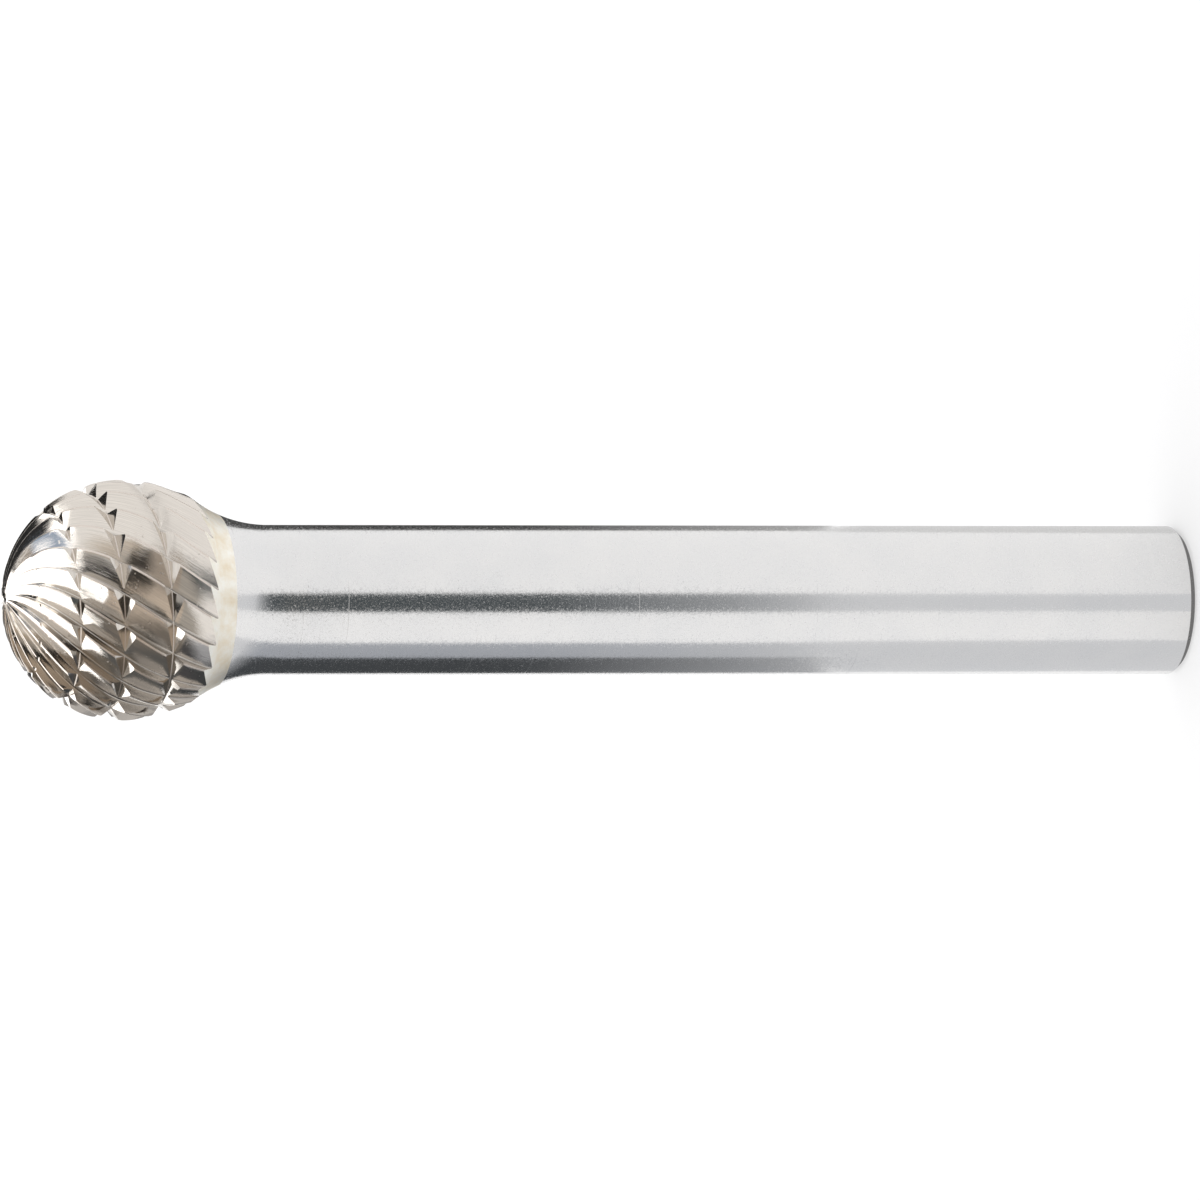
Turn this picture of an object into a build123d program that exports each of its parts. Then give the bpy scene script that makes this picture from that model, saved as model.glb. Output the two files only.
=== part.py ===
"""A carbide burr: a fluted ball head of solid carbide, brazed on a steel shank.

The burr stands on the end of its shank, with its axis on Z. Sizes are in millimetres and
angles in degrees. A station is a polar angle measured from the tip of the ball, and an
offset is an axial distance from the centre of the ball towards the shank.
"""
from build123d import *
import os
from math import cos, degrees, hypot, pi, radians, sin, sqrt, tan

# Overall sizes
overall_length = 49.0
ball_diameter = 9.6
shank_diameter = 6.0
shank_chamfer = 0.26

# Blank: a ball with a tapered back, a shoulder and a concave neck
back_taper = 17.5
shoulder_offset = 2.57
neck_radius = 5.5
carbide_end_offset = 3.05
braze_thickness = 0.8

# Teeth: right-hand flutes, each with a steep rake face and a long back
tooth_count = 22
flute_twist = 0.61  # degrees round the axis for each degree of station
first_tooth_azimuth = -73.4
flute_start = 4.0  # station where the flutes begin, close to the tip
gullet_depth = 0.46  # at the equator, and less towards the tip
gullet_width = 0.08  # of the narrow gullet floor
rake_run = 0.02  # how far the rake face leans from its crest to the floor
land_width = 0.1
gullet_runout = 0.4  # from the shoulder to where the gullet floors break out

# Chip breaker: one V groove that winds round the ball, from near the tip to the back
breaker_start = 30.0  # station where it begins
breaker_azimuth = -28.4  # where it begins
breaker_pitch = 19.4  # degrees of station for the first turn, were it even
breaker_spread = 1.0  # its turns stand wider apart towards the back, as the square of the turn
breaker_full = 80.0  # station where it reaches its full depth
breaker_end = 113.0  # station where it has run out
breaker_exit = 4.5  # degrees of station over which it runs out
breaker_depth = 0.39
breaker_angle = 90.0
breaker_floor = 0.05

# The cutting tools stand this far clear of the blank's surface
tool_clearance = 0.25
# Points along the guide curves of one flute, and for each turn of the chip breaker
flute_points = 12
breaker_points = 16

ball_radius = ball_diameter / 2
shank_radius = shank_diameter / 2
ball_centre = overall_length - ball_radius
degree_length = ball_radius * pi / 180
back_start = 90 + back_taper
back_offset = -ball_radius * cos(radians(back_start))
back_radius = ball_radius * sin(radians(back_start))
shoulder_radius = back_radius - (shoulder_offset - back_offset) * tan(radians(back_taper))
neck_drop = shoulder_radius - shank_radius
neck_end_offset = shoulder_offset + sqrt(2 * neck_radius * neck_drop - neck_drop**2)
braze_end_offset = carbide_end_offset + braze_thickness
shank_end_offset = ball_centre


def outline_point(radius, offset):
    """A point of the turned outline, in the XZ plane."""
    return Vector(radius, 0, ball_centre - offset)


def neck_surface(offset):
    """Radius of the concave neck at an offset."""
    return shank_radius + neck_radius - sqrt(neck_radius**2 - (neck_end_offset - offset) ** 2)


def neck_arc(start, end):
    """The stretch of the neck's arc between two offsets."""
    stops = (start, (start + end) / 2, end)
    return ThreePointArc(*[outline_point(neck_surface(offset), offset) for offset in stops])


def turned(*outline):
    """The solid of revolution of an outline that runs down from one offset to another."""
    start = outline[0] @ 0
    end = outline[-1] @ 1
    rim = [Vector(0, 0, start.Z), Vector(0, 0, end.Z)]
    edges = list(outline) + [Line(end, rim[1]), Line(rim[1], rim[0])]
    if start.X > 0:
        edges.append(Line(rim[0], start))
    return revolve(make_face(edges), Axis.Z)


def envelope(station, lift):
    """Radius and offset of a point at a lift above the tooth crests.

    Round the ball the station is the true polar angle. Past the start of the tapered back
    the crests run on down its cone, where a degree keeps its length.
    """
    polar = radians(min(station, back_start))
    run = max(station - back_start, 0) * degree_length
    radius = (ball_radius + lift) * sin(polar) + run * cos(polar)
    offset = run * sin(polar) - (ball_radius + lift) * cos(polar)
    return radius, offset


def at_azimuth(place, azimuth):
    """The point in space at a radius and offset, turned to an azimuth."""
    radius, offset = place
    angle = radians(azimuth)
    return Vector(radius * cos(angle), radius * sin(angle), ball_centre - offset)


def ruled_solid(sections):
    """A solid with ruled long faces, from sections that are lists of matching corners."""
    last = len(sections) - 1
    steps = [i / last for i in range(last + 1)]
    edges = [Edge.make_spline(list(track), parameters=steps) for track in zip(*sections)]
    faces = [Face.make_surface_from_curves(edge, edges[i - 1]) for i, edge in enumerate(edges)]
    for section in (sections[0], sections[last]):
        for i in range(1, len(section) - 1):
            rim = [section[0], section[i], section[i + 1]]
            faces.append(Face(Wire.make_polygon(rim, close=True)))
    solid = Solid(Shell(faces))
    return solid if solid.volume > 0 else -solid


def gullet_floor(station):
    """Radius and offset of the gullet floor.

    Its depth follows the distance from the axis. Behind the equator the floor leaves the
    ball on a flatter curve and breaks out through the neck.
    """
    radius, offset = envelope(station, 0)
    if station <= 90:
        return envelope(station, -gullet_depth * radius / ball_radius)
    floor_radius = ball_radius - gullet_depth
    runout = shoulder_offset + gullet_runout
    fall = (floor_radius - neck_surface(runout)) / runout**2
    return floor_radius - fall * offset**2, offset


def flute_section(station):
    """Corners of what the grinding wheel removes between two crests, at a station."""
    crest = envelope(station, 0)
    floor = gullet_floor(station)
    depth = hypot(crest[0] - floor[0], crest[1] - floor[1])
    share = crest[0] / ball_radius
    azimuth = -flute_twist * station
    floor_near = degrees(rake_run / ball_radius)
    floor_far = floor_near + degrees(gullet_width / ball_radius)
    land_edge = 360 / tooth_count - degrees(land_width / ball_radius)
    rise = land_width / 2 / (ball_radius * radians(land_edge - floor_far))
    return [
        at_azimuth(envelope(station, tool_clearance * (0.2 + share)), azimuth),
        at_azimuth(floor, azimuth + floor_near),
        at_azimuth(floor, azimuth + floor_far),
        at_azimuth(envelope(station, depth * rise), azimuth + land_edge + rise * (land_edge - floor_far)),
    ]


def flute_cutter():
    """The solid that one pass of the grinding wheel removes."""
    end = back_start + (braze_end_offset - back_offset) / degree_length
    step = (end - flute_start) / (flute_points - 1)
    return ruled_solid([flute_section(flute_start + step * i) for i in range(flute_points)])


def breaker_turn(station):
    """How many turns the chip breaker has made at a station."""
    half_pitch = breaker_pitch / 2
    root = sqrt(half_pitch**2 + breaker_spread * (station - breaker_start))
    return (root - half_pitch) / breaker_spread


def breaker_section(station):
    """Corners of the chip breaker's V, at a station."""
    azimuth = breaker_azimuth - breaker_turn(station) * 360
    entry = sin(radians(90 * min((station - breaker_start) / (breaker_full - breaker_start), 1)))
    leaving = (breaker_end - station) / breaker_exit
    depth = breaker_depth * min(entry, leaving)
    floor_half = breaker_floor / 2 / degree_length
    top_half = floor_half + (depth + tool_clearance) * tan(radians(breaker_angle / 2)) / degree_length
    return [
        at_azimuth(envelope(station - top_half, tool_clearance), azimuth),
        at_azimuth(envelope(station - floor_half, -depth), azimuth),
        at_azimuth(envelope(station + floor_half, -depth), azimuth),
        at_azimuth(envelope(station + top_half, tool_clearance), azimuth),
    ]


def breaker_cutter():
    """The solid that the chip breaker's grinding wheel removes, clear of the ball at both ends."""
    first = breaker_start - breaker_pitch / 8
    last = breaker_end + breaker_exit / 8
    count = round((last - first) / breaker_pitch * breaker_points)
    return ruled_solid([breaker_section(first + (last - first) * i / count) for i in range(count + 1)])


def carbide_head():
    """The cutting head: its turned blank, less the chip breaker and the flutes."""
    tip = outline_point(0, -ball_radius)
    shoulder = outline_point(shoulder_radius, shoulder_offset)
    back = outline_point(back_radius, back_offset)
    middle = outline_point(*envelope(back_start / 2, 0))
    ball = ThreePointArc(tip, middle, back)
    blank = turned(ball, Line(back, shoulder), neck_arc(shoulder_offset, carbide_end_offset))
    flute = flute_cutter()
    turns = [first_tooth_azimuth + 360 / tooth_count * i for i in range(tooth_count)]
    return blank - breaker_cutter() - [flute.rotate(Axis.Z, turn) for turn in turns]


def braze_joint():
    """The layer of braze filler between the head and the shank, ground flush with the neck."""
    return turned(neck_arc(carbide_end_offset, braze_end_offset))


def steel_shank():
    """The shank: the rest of the neck, the straight shank and its chamfered end."""
    chamfer_top = outline_point(shank_radius, shank_end_offset - shank_chamfer)
    chamfer_end = outline_point(shank_radius - shank_chamfer, shank_end_offset)
    neck = neck_arc(braze_end_offset, neck_end_offset)
    return turned(neck, Line(neck @ 1, chamfer_top), Line(chamfer_top, chamfer_end))


os.makedirs("parts", exist_ok=True)
export_step(carbide_head(), "parts/carbide_head.step")
export_step(braze_joint(), "parts/braze_joint.step")
export_step(steel_shank(), "parts/steel_shank.step")
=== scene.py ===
from math import atan2, cos, degrees, hypot, pi, radians, sin, sqrt

import bmesh
import bpy
from mathutils import Matrix, Vector


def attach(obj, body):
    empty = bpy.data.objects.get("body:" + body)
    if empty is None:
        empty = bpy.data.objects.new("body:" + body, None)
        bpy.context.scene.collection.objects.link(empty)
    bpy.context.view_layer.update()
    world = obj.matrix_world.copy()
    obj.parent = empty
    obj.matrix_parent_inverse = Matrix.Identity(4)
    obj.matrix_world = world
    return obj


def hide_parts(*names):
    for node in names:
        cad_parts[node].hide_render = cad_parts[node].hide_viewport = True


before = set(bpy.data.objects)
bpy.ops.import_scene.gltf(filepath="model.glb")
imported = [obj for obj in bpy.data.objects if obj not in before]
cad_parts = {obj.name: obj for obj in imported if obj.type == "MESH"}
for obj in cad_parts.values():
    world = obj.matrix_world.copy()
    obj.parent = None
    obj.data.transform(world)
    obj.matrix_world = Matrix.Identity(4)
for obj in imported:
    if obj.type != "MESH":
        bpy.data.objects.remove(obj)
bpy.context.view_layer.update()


# The camera. The burr stands on the end of its shank, and is looked at from the front and
# a little above through a long lens, with the camera turned on its side so that the shank
# runs across the picture to the right.
MM = 0.001
ball_height = 44.2
look_down = radians(16.5)
view_distance = 617.4 * MM
aim_shift = 19.06 * MM
picture_right = Vector((0, -sin(look_down), -cos(look_down)))
picture_up = Vector((1, 0, 0))
towards_camera = Vector((0, -cos(look_down), sin(look_down)))
camera_data = bpy.data.cameras.new("camera")
camera_data.sensor_width = 36
camera_data.lens = 465
camera_data.clip_start = 0.01
camera_data.clip_end = 50
camera = bpy.data.objects.new("camera", camera_data)
eye = Vector((0, 0, ball_height * MM)) + towards_camera * view_distance + picture_right * aim_shift
camera_turn = Matrix((picture_right, picture_up, towards_camera)).transposed().to_4x4()
camera.matrix_world = Matrix.Translation(eye) @ camera_turn
bpy.context.scene.collection.objects.link(camera)
bpy.context.scene.camera = camera
bpy.context.scene.view_settings.view_transform = "Standard"


# The table under the burr: one wide sheet of matt white paper, which shows the soft shadow
# at the foot of the shank and is plain white everywhere else.
table_radius = 4000
table_sides = 64
paper_white = (0.9, 0.9, 0.9, 1)
pure_white = (1, 1, 1, 1)
glow_share = 0.55


class Wire:
    """A socket of a node tree, so that sums of values are written as Python."""

    def __init__(self, socket):
        self.socket = socket

    def combine(self, operation, first, second):
        tree = self.socket.node.id_data
        sum_node = tree.nodes.new("ShaderNodeMath")
        sum_node.operation = operation
        for slot, item in zip(sum_node.inputs, (first, second)):
            if isinstance(item, Wire):
                tree.links.new(item.socket, slot)
            else:
                slot.default_value = item
        return Wire(sum_node.outputs[0])

    def __add__(self, other):
        return self.combine("ADD", self, other)

    def __radd__(self, other):
        return self.combine("ADD", other, self)

    def __sub__(self, other):
        return self.combine("SUBTRACT", self, other)

    def __rsub__(self, other):
        return self.combine("SUBTRACT", other, self)

    def __mul__(self, other):
        return self.combine("MULTIPLY", self, other)

    def __rmul__(self, other):
        return self.combine("MULTIPLY", other, self)

    def __truediv__(self, other):
        return self.combine("DIVIDE", self, other)

    def __rtruediv__(self, other):
        return self.combine("DIVIDE", other, self)

    def max(self, other):
        return self.combine("MAXIMUM", self, other)

    def min(self, other):
        return self.combine("MINIMUM", self, other)

    def clip(self):
        return self.max(0).min(1)

    def fraction(self):
        return self.combine("FRACT", self, 0)


class Finish:
    """The node tree of a material or of the world, with one way to add a node."""

    def __init__(self, owner, output):
        owner.use_nodes = True
        self.owner = owner
        self.tree = owner.node_tree
        self.tree.nodes.clear()
        self.end = self.tree.nodes.new(output)

    def add(self, kind, settings=None, sockets=None, output=0):
        node = self.tree.nodes.new(kind)
        for name, value in (settings or {}).items():
            setattr(node, name, value)
        for name, value in (sockets or {}).items():
            if isinstance(value, Wire):
                self.tree.links.new(value.socket, node.inputs[name])
            else:
                node.inputs[name].default_value = value
        return Wire(node.outputs[output])

    def blend(self, share, first, second):
        return self.add("ShaderNodeMix", {"data_type": "RGBA"}, {0: share, 6: first, 7: second}, output=2)

    def object_place(self):
        return self.add("ShaderNodeTexCoord", output="Object")

    def noise(self, place, scale, detail, roughness):
        settings = {"Vector": place, "Scale": scale, "Detail": detail, "Roughness": roughness}
        return self.add("ShaderNodeTexNoise", None, settings)

    def seen_as_it_is(self):
        """1 for the rays that come straight from the camera, off polished metal or through glass."""
        straight = self.add("ShaderNodeLightPath", output="Is Camera Ray")
        mirrored = self.add("ShaderNodeLightPath", output="Is Glossy Ray")
        through = self.add("ShaderNodeLightPath", output="Is Transmission Ray")
        return straight.max(mirrored).max(through)

    def close(self, surface):
        self.tree.links.new(surface.socket, self.end.inputs["Surface"])
        return self.owner


def new_finish(name):
    return Finish(bpy.data.materials.new(name), "ShaderNodeOutputMaterial")


def new_object(name, mesh):
    """A finished bmesh made into an object of the scene."""
    data = bpy.data.meshes.new(name)
    mesh.to_mesh(data)
    mesh.free()
    made = bpy.data.objects.new(name, data)
    bpy.context.scene.collection.objects.link(made)
    return made


paper = new_finish("matt_white_paper")
lit_paper = paper.add("ShaderNodeBsdfDiffuse", None, {"Color": paper_white})
glow = paper.add("ShaderNodeEmission", None, {"Color": pure_white, "Strength": 1.0})
share = paper.seen_as_it_is() * glow_share
paper_skin = paper.add("ShaderNodeMixShader", None, {0: share, 1: lit_paper, 2: glow})
table_mesh = bmesh.new()
bmesh.ops.create_circle(table_mesh, cap_ends=True, segments=table_sides, radius=table_radius * MM)
table = new_object("table", table_mesh)
table.data.materials.append(paper.close(paper_skin))


# The shank: a bar of hardened tool steel, 6 mm across and centreless ground, with a turned
# neck at the top and a small chamfer at the end. The grinding leaves fine scratches round it
# and a satin, slightly flecked shine. Offsets are measured down from the middle of the ball.
shank_radius = 3.0
neck_radius = 5.5
neck_end_offset = 6.028
braze_end_offset = 3.85
neck_steps = 24
straight_from_offset = 6.4
middle_height = 20.0
chamfer = 0.26
chamfer_round = 0.06
chamfer_drop = 0.015
foot_round = 0.02
foot_rise = 0.03
round_steps = 192
spun_join = 1e-8
turned_crease = 28
steel_colour = (0.79, 0.78, 0.77, 1)
steel_shade = (0.69, 0.695, 0.705, 1)


def neck_surface(offset):
    """Radius of the concave neck at an offset."""
    return shank_radius + neck_radius - sqrt(neck_radius**2 - (neck_end_offset - offset) ** 2)


def neck_outline(start, end, steps):
    """Points of (radius, height) down the neck, from one offset to another."""
    offsets = [start + (end - start) * i / steps for i in range(steps + 1)]
    return [(neck_surface(offset), ball_height - offset) for offset in offsets]


def spun_piece(name, outline):
    """A turned piece with closed ends, spun from an outline of (radius, height) in millimetres."""
    mesh = bmesh.new()
    points = [mesh.verts.new((radius * MM, 0, height * MM)) for radius, height in outline]
    edges = [mesh.edges.new(pair) for pair in zip(points, points[1:])]
    bmesh.ops.spin(
        mesh,
        geom=points + edges,
        axis=(0, 0, 1),
        cent=(0, 0, 0),
        angle=2 * pi,
        steps=round_steps,
        use_merge=True,
    )
    bmesh.ops.remove_doubles(mesh, verts=mesh.verts, dist=spun_join)
    bmesh.ops.holes_fill(mesh, edges=[edge for edge in mesh.edges if edge.is_boundary], sides=0)
    return smooth_piece(name, mesh, turned_crease)


def smooth_piece(name, mesh, crease):
    """A piece with outward faces, smooth but for edges sharper than the crease angle."""
    bmesh.ops.recalc_face_normals(mesh, faces=mesh.faces)
    if mesh.calc_volume(signed=True) < 0:
        bmesh.ops.reverse_faces(mesh, faces=mesh.faces)
    for face in mesh.faces:
        face.smooth = True
    for edge in mesh.edges:
        edge.smooth = edge.calc_face_angle(0) < radians(crease)
    return new_object(name, mesh)


def metal(finish, tone, rough, bump=None):
    """The material of bare metal, with a bump where it is given one."""
    sockets = {"Base Color": tone, "Metallic": 1.0, "Roughness": rough}
    if bump:
        sockets["Normal"] = bump
    return finish.close(finish.add("ShaderNodeBsdfPrincipled", None, sockets))


straight_heights = [ball_height - straight_from_offset, middle_height, chamfer + chamfer_round]
shank_outline = neck_outline(braze_end_offset, neck_end_offset, neck_steps)
shank_outline += [(shank_radius, height) for height in straight_heights]
shank_outline.append((shank_radius - chamfer_drop, chamfer))
shank_outline.append((shank_radius - chamfer + foot_round, foot_rise))
shank_outline.append((shank_radius - chamfer - foot_round, 0.0))
shank = spun_piece("ground_shank", shank_outline)

steel = new_finish("ground_steel")
place = steel.object_place()
round_marks = steel.add("ShaderNodeMapping", None, {"Vector": place, "Scale": (60, 60, 17000)})
scratches = steel.noise(round_marks, scale=1.0, detail=2.0, roughness=0.6)
grain = steel.noise(place, scale=13000.0, detail=2.0, roughness=0.7)
cloud = steel.noise(place, scale=420.0, detail=3.0, roughness=0.6)
dust = steel.noise(place, scale=15000.0, detail=1.0, roughness=0.5)
flecks = ((grain - 0.4) * 3).clip()
sparks = ((dust - 0.57) * 4).clip()
marks = ((scratches - 0.68) * 9).clip()
steel_tone = steel.blend((cloud - 0.3) * 0.9 + flecks * 0.2, steel_colour, steel_shade)
steel_rough = 0.07 + flecks * 0.18 + sparks * 0.24 + marks * 0.1 + cloud * 0.06
steel_relief = {"Height": grain * 0.35 - marks, "Strength": 0.4, "Distance": 0.00001}
steel_bump = steel.add("ShaderNodeBump", None, steel_relief)
shank.data.materials.append(metal(steel, steel_tone, steel_rough, steel_bump))
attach(shank, "root")
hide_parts("steel_shank")


# The braze joint: a thin ring of silver solder between the head and the shank, ground flush
# with the neck. It is pale gold, and the flux has left it mottled.
carbide_end_offset = 3.05
gold_colour = (0.84, 0.73, 0.55, 1)
cream_colour = (0.95, 0.93, 0.86, 1)
ring_steps = 8


def flux_stain(finish):
    """The cloudy pattern that flux leaves on solder."""
    return finish.noise(finish.object_place(), scale=1300.0, detail=4.0, roughness=0.65)


ring_outline = neck_outline(carbide_end_offset, braze_end_offset, ring_steps)
solder_ring = spun_piece("solder_ring", ring_outline)
solder = new_finish("silver_solder")
mottle = flux_stain(solder)
solder_tone = solder.blend((mottle - 0.35) * 2.5, cream_colour, gold_colour)
solder_relief = {"Height": mottle, "Strength": 0.3, "Distance": 0.00004}
solder_bump = solder.add("ShaderNodeBump", None, solder_relief)
solder_ring.data.materials.append(metal(solder, solder_tone, 0.3 + mottle * 0.3, solder_bump))
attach(solder_ring, "root")
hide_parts("braze_joint")


# The cutting head: sintered tungsten carbide, ground with diamond wheels. Twenty-two spiral
# teeth run from the tip to the neck, and one V groove winds round across them to break the
# chips. The lands are the first grind of the ball, and the flutes are bright from the wheel.
tooth_count = 22
ball_radius = 4.8
# Stations are degrees of arc from the tip, and azimuths are degrees round the axis.
equator = 90
back_start = 107.5
degree_length = ball_radius * pi / 180
flute_twist = 0.61
first_tooth_azimuth = -73.4
gullet_depth = 0.46
shoulder_offset = 2.57
gullet_runout = 0.4
breaker_start = 30.0
breaker_azimuth = -28.4
breaker_pitch = 19.4
breaker_spread = 1.0
breaker_full = 80.0
breaker_end = 113.0
breaker_exit = 4.5
breaker_depth = 0.39
breaker_floor = 0.05
pitch_angle = 360 / tooth_count
land_width = 0.1
land_lip = 0.12
land_middle = 0.6
land_edge = pitch_angle - degrees(land_width / ball_radius)
back_from = 2.2
back_depth = 0.92
back_hollow = 1.1
back_columns = 13
tip_fade_from = 1.5
tip_fade_length = 3.5
least_reach = 1e-6
head_join = 3e-8
sliver_length = 2e-8
ground_crease = 22


def envelope(station, lift):
    """Radius and offset of the blank's surface, raised by a lift in millimetres."""
    polar = radians(min(station, back_start))
    run = max(station - back_start, 0) * degree_length
    radius = (ball_radius + lift) * sin(polar) + run * cos(polar)
    offset = run * sin(polar) - (ball_radius + lift) * cos(polar)
    return radius, offset


def gullet_floor(station):
    """Radius and offset of the gullets' floor, which comes out of the head at the shoulder."""
    radius, offset = envelope(station, 0)
    if station <= equator:
        return envelope(station, -gullet_depth * radius / ball_radius)
    floor_radius = ball_radius - gullet_depth
    runout = shoulder_offset + gullet_runout
    fall = (floor_radius - neck_surface(runout)) / runout**2
    return floor_radius - fall * offset**2, offset


def gullet_reach(station):
    """Depth of the gullets at a station, in millimetres."""
    crest = envelope(station, 0)
    floor = gullet_floor(station)
    return hypot(crest[0] - floor[0], crest[1] - floor[1])


def breaker_station(turn):
    """The station of the chip breaker after some turns round the head."""
    return breaker_start + breaker_pitch * turn + breaker_spread * turn * turn


def breaker_cut(station):
    """Depth of the chip breaker's groove, which deepens from its start and runs out at its end."""
    if not breaker_start < station < breaker_end:
        return 0
    entry = sin(radians(90 * min((station - breaker_start) / (breaker_full - breaker_start), 1)))
    return breaker_depth * min(entry, (breaker_end - station) / breaker_exit)


# Across one tooth: the azimuth past the crest, and the share of the gullet's depth there. The
# steep rake face and the gullet come first, then the hollow back, and the land at the top.
tooth_profile = [(0.0, 0.004), (0.06, 0.05), (0.13, 0.42), (0.22, 0.78)]
tooth_profile += [(0.38, 0.9), (0.7, 0.955), (1.15, 0.97), (1.65, 0.955)]
for i in range(back_columns):
    rise = i / back_columns
    angle = back_from + (land_edge - back_from) * rise
    tooth_profile.append((angle, back_depth * (1 - rise**back_hollow)))
land_profile = [(land_edge, 0.006), (land_edge + land_lip, 0.0)]
land_profile += [(pitch_angle - land_middle, 0.0), (pitch_angle - land_lip, 0.0)]
tooth_profile += land_profile
per_tooth = len(tooth_profile)
columns = tooth_count * per_tooth

# Down the head: the tip, then for each turn of the chip breaker its V and the rows up to the
# next one, then the run to the neck, and the neck.
tip_stations = [0, 1, 2, 3, 4.5, 6, 8, 10, 12, 14, 16, 18, 20, 22, 24]
spiral_from = 26.0
spiral_to = 115.5
grooves = range(-1, 6)
v_rows = 6
v_floor_row = 2
between = 7
per_groove = v_rows + between
tip_rows = len(tip_stations)
spiral_rows = per_groove * len(grooves)
tail_rows = 9
neck_rows = 6
rows = tip_rows + spiral_rows + tail_rows + neck_rows


def breaker_crossing(groove, tip_azimuth):
    """The station where one turn of the chip breaker crosses a column, found by repeated trial."""
    station = 70.0
    trials = 12
    for step in range(trials):
        turn = groove + (breaker_azimuth - (tip_azimuth - flute_twist * station)) / 360
        station = breaker_station(turn)
    return min(max(station, spiral_from), spiral_to)


def column_stations(column):
    """The station of every row down one column, as far as the neck."""
    angle, share = tooth_profile[column % per_tooth]
    tip_azimuth = first_tooth_azimuth + pitch_angle * (column // per_tooth) + angle
    crossings = []
    for groove in grooves:
        station = breaker_crossing(groove, tip_azimuth)
        half = max(breaker_cut(station) - share * gullet_reach(station), 0) / degree_length
        flat = min(breaker_floor / 2 / degree_length, half)
        reach = half + (flat if half > 0 else 0)
        crossings.append((station, reach, flat))
    stations = list(tip_stations)
    for i, (station, reach, flat) in enumerate(crossings):
        middle = (reach + flat) / 2
        stations += [station - reach, station - middle, station - flat]
        stations += [station + flat, station + middle, station + reach]
        above = station + reach
        below = spiral_to
        if i + 1 < len(crossings):
            below = crossings[i + 1][0] - crossings[i + 1][1]
        stations += [above + (below - above) * (j + 1) / (between + 1) for j in range(between)]
    end = tooth_end(share)
    stations += [spiral_to + (end - spiral_to) * (j + 1) / tail_rows for j in range(tail_rows)]
    return [min(station, end) for station in stations]


def tooth_place(station, share):
    """Radius and offset on a tooth, at a station and a share of the gullet's depth."""
    crest = envelope(station, 0)
    floor = gullet_floor(station)
    return crest[0] + (floor[0] - crest[0]) * share, crest[1] + (floor[1] - crest[1]) * share


def tooth_end(share):
    """The station where a tooth's surface meets the concave neck, found by halving."""
    low = 110.0
    high = 140.0
    halvings = 40
    for step in range(halvings):
        middle = (low + high) / 2
        radius, offset = tooth_place(middle, share)
        if radius < neck_surface(offset):
            low = middle
        else:
            high = middle
    return low


def breaker_share(station, azimuth):
    """The chip breaker's depth at a place, as a share of the gullet's."""
    cut = 0
    for groove in grooves:
        centre = breaker_station(groove + (breaker_azimuth - azimuth) / 360)
        away = max(abs(station - centre) * degree_length - breaker_floor / 2, 0)
        cut = max(cut, breaker_cut(centre) - away)
    return cut / max(gullet_reach(station), least_reach)


head_mesh = bmesh.new()
bmesh.ops.create_grid(head_mesh, x_segments=columns, y_segments=rows - 1, size=1)
uv_layer = head_mesh.loops.layers.uv.new("UVMap")
column_of = {vert: round((vert.co.x + 1) / 2 * columns) for vert in head_mesh.verts}
row_of = {vert: round((vert.co.y + 1) / 2 * (rows - 1)) for vert in head_mesh.verts}
stations_of = [column_stations(column) for column in range(columns)]

# The last column closes the ring on the first. Each of the chip breaker's rows has wound one
# turn towards the tip by there, so the first column's stations come one turn's rows later.
first = stations_of[0]
last_column = list(tip_stations)
last_column += [spiral_from] * per_groove
last_column += first[tip_rows:tip_rows + spiral_rows - per_groove]
last_column += first[tip_rows + spiral_rows:]
stations_of.append(last_column)

for vert in head_mesh.verts:
    column = column_of[vert]
    row = row_of[vert]
    inner = column % columns
    angle, share = tooth_profile[inner % per_tooth]
    stations = stations_of[column]
    station = stations[min(row, len(stations) - 1)]
    fade = min(max((station - tip_fade_from) / tip_fade_length, 0), 1)
    azimuth = first_tooth_azimuth + pitch_angle * (inner // per_tooth) + angle - flute_twist * station
    share = max(share * fade, breaker_share(station, azimuth) if station > breaker_start else 0)
    radius, offset = tooth_place(station, share)
    if row >= len(stations):
        reach = (carbide_end_offset - offset) * (row - len(stations) + 1) / neck_rows
        azimuth -= flute_twist * reach / sin(radians(back_start)) / degree_length
        offset += reach
        radius = neck_surface(offset)
    turn = radians(azimuth)
    vert.co = Vector((radius * cos(turn), radius * sin(turn), ball_height - offset)) * MM

flutes, lands, stained_neck, notch_flanks = range(4)
for face in head_mesh.faces:
    low_column = min(column_of[vert] for vert in face.verts)
    low_row = min(row_of[vert] for vert in face.verts)
    row_in_turn = (low_row - tip_rows) % per_groove
    face.material_index = flutes
    if low_row >= rows - neck_rows - 1:
        face.material_index = stained_neck
    elif tip_rows <= low_row < tip_rows + spiral_rows and row_in_turn < v_rows - 1:
        face.material_index = lands if row_in_turn == v_floor_row else notch_flanks
    elif low_column % per_tooth >= per_tooth - len(land_profile):
        face.material_index = lands
    for loop in face.loops:
        column = column_of[loop.vert]
        row = row_of[loop.vert]
        stations = stations_of[column]
        across = column // per_tooth + tooth_profile[column % per_tooth][0] / pitch_angle
        along = stations[min(row, len(stations) - 1)] / equator
        loop[uv_layer].uv = (across, along)
bmesh.ops.remove_doubles(head_mesh, verts=head_mesh.verts, dist=head_join)
bmesh.ops.dissolve_degenerate(head_mesh, edges=head_mesh.edges, dist=sliver_length)
bmesh.ops.holes_fill(head_mesh, edges=[edge for edge in head_mesh.edges if edge.is_boundary], sides=0)
head = smooth_piece("fluted_head", head_mesh, ground_crease)

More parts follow.
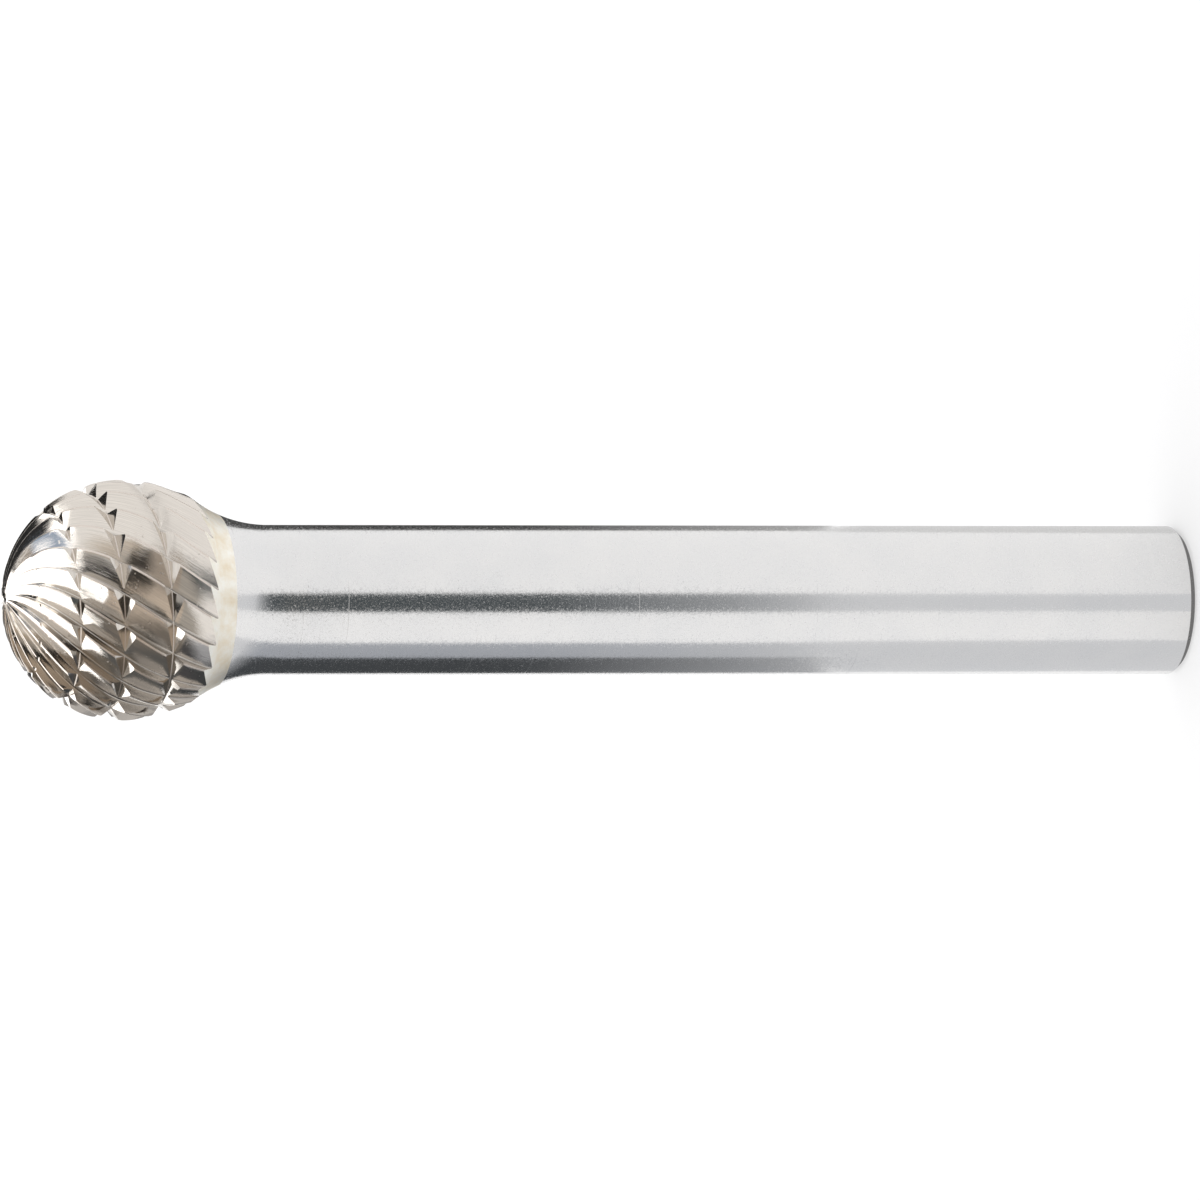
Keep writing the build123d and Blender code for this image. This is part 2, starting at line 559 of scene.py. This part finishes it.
# The flutes have grinding lines along them and sparse glints, and shade is painted into their colour in the
# gullets.
carbide_colour = (0.80, 0.745, 0.68, 1)
carbide_shade = (0.54, 0.505, 0.465, 1)
painted_gullet_shade = (0.22, 0.2, 0.18, 1)
carbide = new_finish("ground_carbide")
place = carbide.add("ShaderNodeUVMap", {"uv_map": "UVMap"})
stretched = carbide.add("ShaderNodeMapping", None, {"Vector": place, "Scale": (38.0, 3.0, 1.0)})
line_pattern = {"Vector": stretched, "Scale": 1.0, "Detail": 4.0, "Roughness": 0.65}
lines = carbide.add("ShaderNodeTexNoise", {"noise_dimensions": "2D"}, line_pattern)
past_crest = carbide.add("ShaderNodeSeparateXYZ", None, {0: place}, output=0).fraction()
from_tip = carbide.add("ShaderNodeSeparateXYZ", None, {0: place}, output=1)
# Painted shade: the colour darkens just past each crest, down in the gullet, from a little way below the
# tip.
gullet_shade_mask = (1 - ((past_crest - 0.03) * 9).clip()) * ((from_tip - 0.4) * 3).clip()
carbide_tone = carbide.blend((lines - 0.3) * 1.6, carbide_colour, carbide_shade)
carbide_tone = carbide.blend(gullet_shade_mask * 0.6, carbide_tone, painted_gullet_shade)
grit = carbide.noise(carbide.object_place(), scale=5200.0, detail=1.0, roughness=0.5)
glints = ((grit - 0.7) * 14).clip()
carbide_relief = {"Height": lines * from_tip.min(1), "Strength": 0.2, "Distance": 0.00002}
carbide_bump = carbide.add("ShaderNodeBump", None, carbide_relief)
carbide_rough = 0.03 + lines * 0.12 + glints * 0.4
head.data.materials.append(metal(carbide, carbide_tone, carbide_rough, carbide_bump))

# The lands and the floor of the chip breaker are matt, with a faint haze.
land_colour = (0.75, 0.68, 0.62, 1)
land_shade = (0.66, 0.59, 0.53, 1)
land = new_finish("ground_land")
haze = land.noise(land.object_place(), scale=2600.0, detail=3.0, roughness=0.6)
land_tone = land.blend(haze, land_colour, land_shade)
head.data.materials.append(metal(land, land_tone, 0.36 + haze * 0.12))

# The neck of the carbide is stained with solder.
flashed = new_finish("solder_flash")
mottle = flux_stain(flashed)
flash_tone = flashed.blend((mottle - 0.4) * 2.0, cream_colour, gold_colour)
head.data.materials.append(metal(flashed, flash_tone, 0.3 + mottle * 0.3))

# The sides of the chip breaker are smooth from the wheel, with fine marks round the head.
notch = new_finish("ground_notch")
streaks = notch.add("ShaderNodeMapping", None, {"Vector": notch.object_place(), "Scale": (900, 900, 9000)})
lines = notch.noise(streaks, scale=1.0, detail=2.0, roughness=0.6)
notch_tone = notch.blend(lines, carbide_colour, carbide_shade)
head.data.materials.append(metal(notch, notch_tone, 0.05 + lines * 0.12))
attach(head, "root")
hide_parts("carbide_head")


# The studio: a large soft box behind and above the burr, and cards and strips that glow black,
# grey and tinted, unlit, round its foot, its shank and its head. They only show in the polished
# metal, as painted reflections that make its bands. The lamp's place and size are in metres, the cards' in
# millimetres.
lamp_place = (-0.13, 0.22, 0.47)
lamp_aim = (0, 0, 0.04)
lamp_size = 1.4
lamp_power = 9.5
dim_air_colour = (0.3, 0.3, 0.31, 1)
card_steps = 16
wide_circle = 60
card_circle = 45
tip_circle = 30
near_circle = 16
card_foot = (0.5, 0.5)
foot_fade = 15
strip_length = 43
strip_gap = 0.02
strip_height = 0.1
shade_height = 0.02
shade_sides = 96

lamp_data = bpy.data.lights.new("back_box", "AREA")
lamp_data.shape = "RECTANGLE"
lamp_data.size = lamp_size
lamp_data.size_y = lamp_size
lamp_data.energy = lamp_power
lamp = bpy.data.objects.new("back_box", lamp_data)
lamp.location = lamp_place
lamp.rotation_euler = (Vector(lamp_aim) - Vector(lamp_place)).to_track_quat("-Z", "Y").to_euler()
lamp.visible_camera = False
bpy.context.scene.collection.objects.link(lamp)


def glowing_card(name, side, distance, low, high, colour, foot_colour=None):
    """A glowing card bent round the burr, between two angles from the camera's side, seen only in the metal
    as a painted reflection.

    Its lower and upper edges are heights in millimetres, and each may slope from one end to the other.
    """
    sheet = bmesh.new()
    turn = radians(side[0] - 90)
    reach = Vector((cos(turn), sin(turn), 0)) * distance * MM
    ends = [sheet.verts.new(reach), sheet.verts.new(reach + Vector((0, 0, MM)))]
    edge = sheet.edges.new(ends)
    width = radians(side[1] - side[0])
    bmesh.ops.spin(sheet, geom=ends + [edge], axis=(0, 0, 1), cent=(0, 0, 0), angle=width, steps=card_steps)
    for vert in sheet.verts:
        angle = degrees(atan2(vert.co.y, vert.co.x)) + 90
        angle -= 360 if angle > side[1] + 1 else 0
        along = (angle - side[0]) / (side[1] - side[0])
        heights = high if vert.co.z > MM / 2 else low
        vert.co.z = (heights[0] + (heights[1] - heights[0]) * along) * MM
    stand_card(name, sheet, colour, foot_colour)


def table_strip(name, side, colour):
    """A glowing strip on the table, seen only in the metal as a painted reflection, cut so that its image in
    the round shank has straight edges.
    """
    sheet = bmesh.new()
    bmesh.ops.create_grid(sheet, x_segments=card_steps, y_segments=1, size=1)
    for vert in sheet.verts:
        angle = side[0] + (side[1] - side[0]) * (vert.co.x + 1) / 2
        at_shank = Vector((0, -(shank_radius + strip_gap) * MM, strip_height * MM))
        foot = Matrix.Rotation(radians(angle / 2), 3, "Z") @ at_shank
        run = Matrix.Rotation(radians(angle), 3, "Z") @ Vector((0, -strip_length * MM, 0))
        vert.co = foot + run * (vert.co.y + 1) / 2
    stand_card(name, sheet, colour)


def stand_card(name, sheet, colour, foot_colour=None):
    """A sheet that glows evenly, or fades at its foot from another colour."""
    card = new_object(name, sheet)
    card_glow = new_finish(name)
    tone = card_glow.add("ShaderNodeEmission", None, {"Color": (*colour, 1), "Strength": 1.0})
    if foot_colour:
        height = card_glow.add("ShaderNodeSeparateXYZ", None, {0: card_glow.object_place()}, output=2)
        foot = card_glow.add("ShaderNodeEmission", None, {"Color": (*foot_colour, 1), "Strength": 1.0})
        above_foot = (height / (foot_fade * MM)).min(1)
        tone = card_glow.add("ShaderNodeMixShader", None, {0: above_foot, 1: foot, 2: tone})
    card.data.materials.append(card_glow.close(tone))
    card.visible_camera = False
    card.visible_diffuse = False
    card.visible_shadow = False


front_side = (-18, 9.5)
lower_side = (-152, -98)
grey_side = (-98, -68)
back_side = (133, 184)
glowing_card(
    "lower_black_card", lower_side, card_circle, card_foot, (32, 32), (0.06, 0.065, 0.07), (0.46, 0.47, 0.49)
)
glowing_card("lower_high_card", (-138, -88), card_circle, (32, 32), (50, 78), (0.12, 0.12, 0.118))
glowing_card("lower_brown_card", (-88, -60), card_circle, (32, 32), (112, 118), (0.2, 0.18, 0.16))
glowing_card(
    "lower_grey_card", grey_side, card_circle, card_foot, (32, 32), (0.43, 0.45, 0.49), (0.66, 0.67, 0.69)
)
glowing_card("brown_card", (-60, -32), card_circle, (32, 32), (84, 84), (0.62, 0.54, 0.46))
glowing_card(
    "front_black_card", front_side, card_circle, card_foot, (30, 30), (0.08, 0.092, 0.098), (0.6, 0.61, 0.63)
)
glowing_card("front_low_card", (-32, 12), card_circle, (30, 30), (50, 52), (0.42, 0.37, 0.32))
glowing_card("front_near_card", (-62, 0), near_circle, (36, 36), (41, 41), (0.45, 0.43, 0.4))
glowing_card("lower_near_card", (-125, -62), near_circle, (36, 36), (40, 40), (0.08, 0.08, 0.085))
glowing_card("front_dark_card", (-32, 6), card_circle, (50, 52), (76, 66), (0.06, 0.055, 0.05))
glowing_card("front_high_card", (-34, -15), card_circle, (76, 72), (124, 150), (0.03, 0.03, 0.03))
glowing_card("front_pale_card", (-15, 4), card_circle, (72, 66), (200, 200), (0.5, 0.49, 0.48))
glowing_card("front_warm_card", (4, 20), card_circle, (52, 60), (140, 120), (0.66, 0.6, 0.53))
glowing_card("back_card", back_side, card_circle, card_foot, (34, 34), (0.07, 0.07, 0.07), (0.5, 0.5, 0.5))
glowing_card("blue_card", (20, 130), tip_circle, (112, 112), (190, 190), (0.42, 0.52, 0.68))
glowing_card("tip_brown_card", (130, 166), tip_circle, (132, 132), (250, 250), (0.36, 0.32, 0.28))
glowing_card("tip_black_card", (96, 170), tip_circle, (76, 70), (116, 128), (0.02, 0.021, 0.023))
glowing_card("upper_black_card", (127, 186), wide_circle, (68, 56), (108, 100), (0.02, 0.02, 0.02))
table_strip("front_strip", front_side, (0.74, 0.75, 0.77))
table_strip("lower_strip", (lower_side[0], grey_side[1]), (0.74, 0.75, 0.77))
table_strip("back_strip", back_side, (0.74, 0.74, 0.74))
# Painted shade: a dark glowing disc under the foot, seen only in the metal, stands in for the shadow round
# the foot that the chamfer reflects.
foot_sheet = bmesh.new()
bmesh.ops.create_circle(foot_sheet, cap_ends=True, segments=shade_sides, radius=shank_radius * MM)
bmesh.ops.translate(foot_sheet, verts=foot_sheet.verts, vec=(0, 0, shade_height * MM))
stand_card("foot_shade", foot_sheet, (0.2, 0.2, 0.2))

world = Finish(bpy.data.worlds.new("studio_air"), "ShaderNodeOutputWorld")
soft_air = world.add("ShaderNodeBackground", None, {"Color": dim_air_colour, "Strength": 1.0})
white_air = world.add("ShaderNodeBackground", None, {"Color": pure_white, "Strength": 1.0})
air = world.add("ShaderNodeMixShader", None, {0: world.seen_as_it_is(), 1: soft_air, 2: white_air})
bpy.context.scene.world = world.close(air)
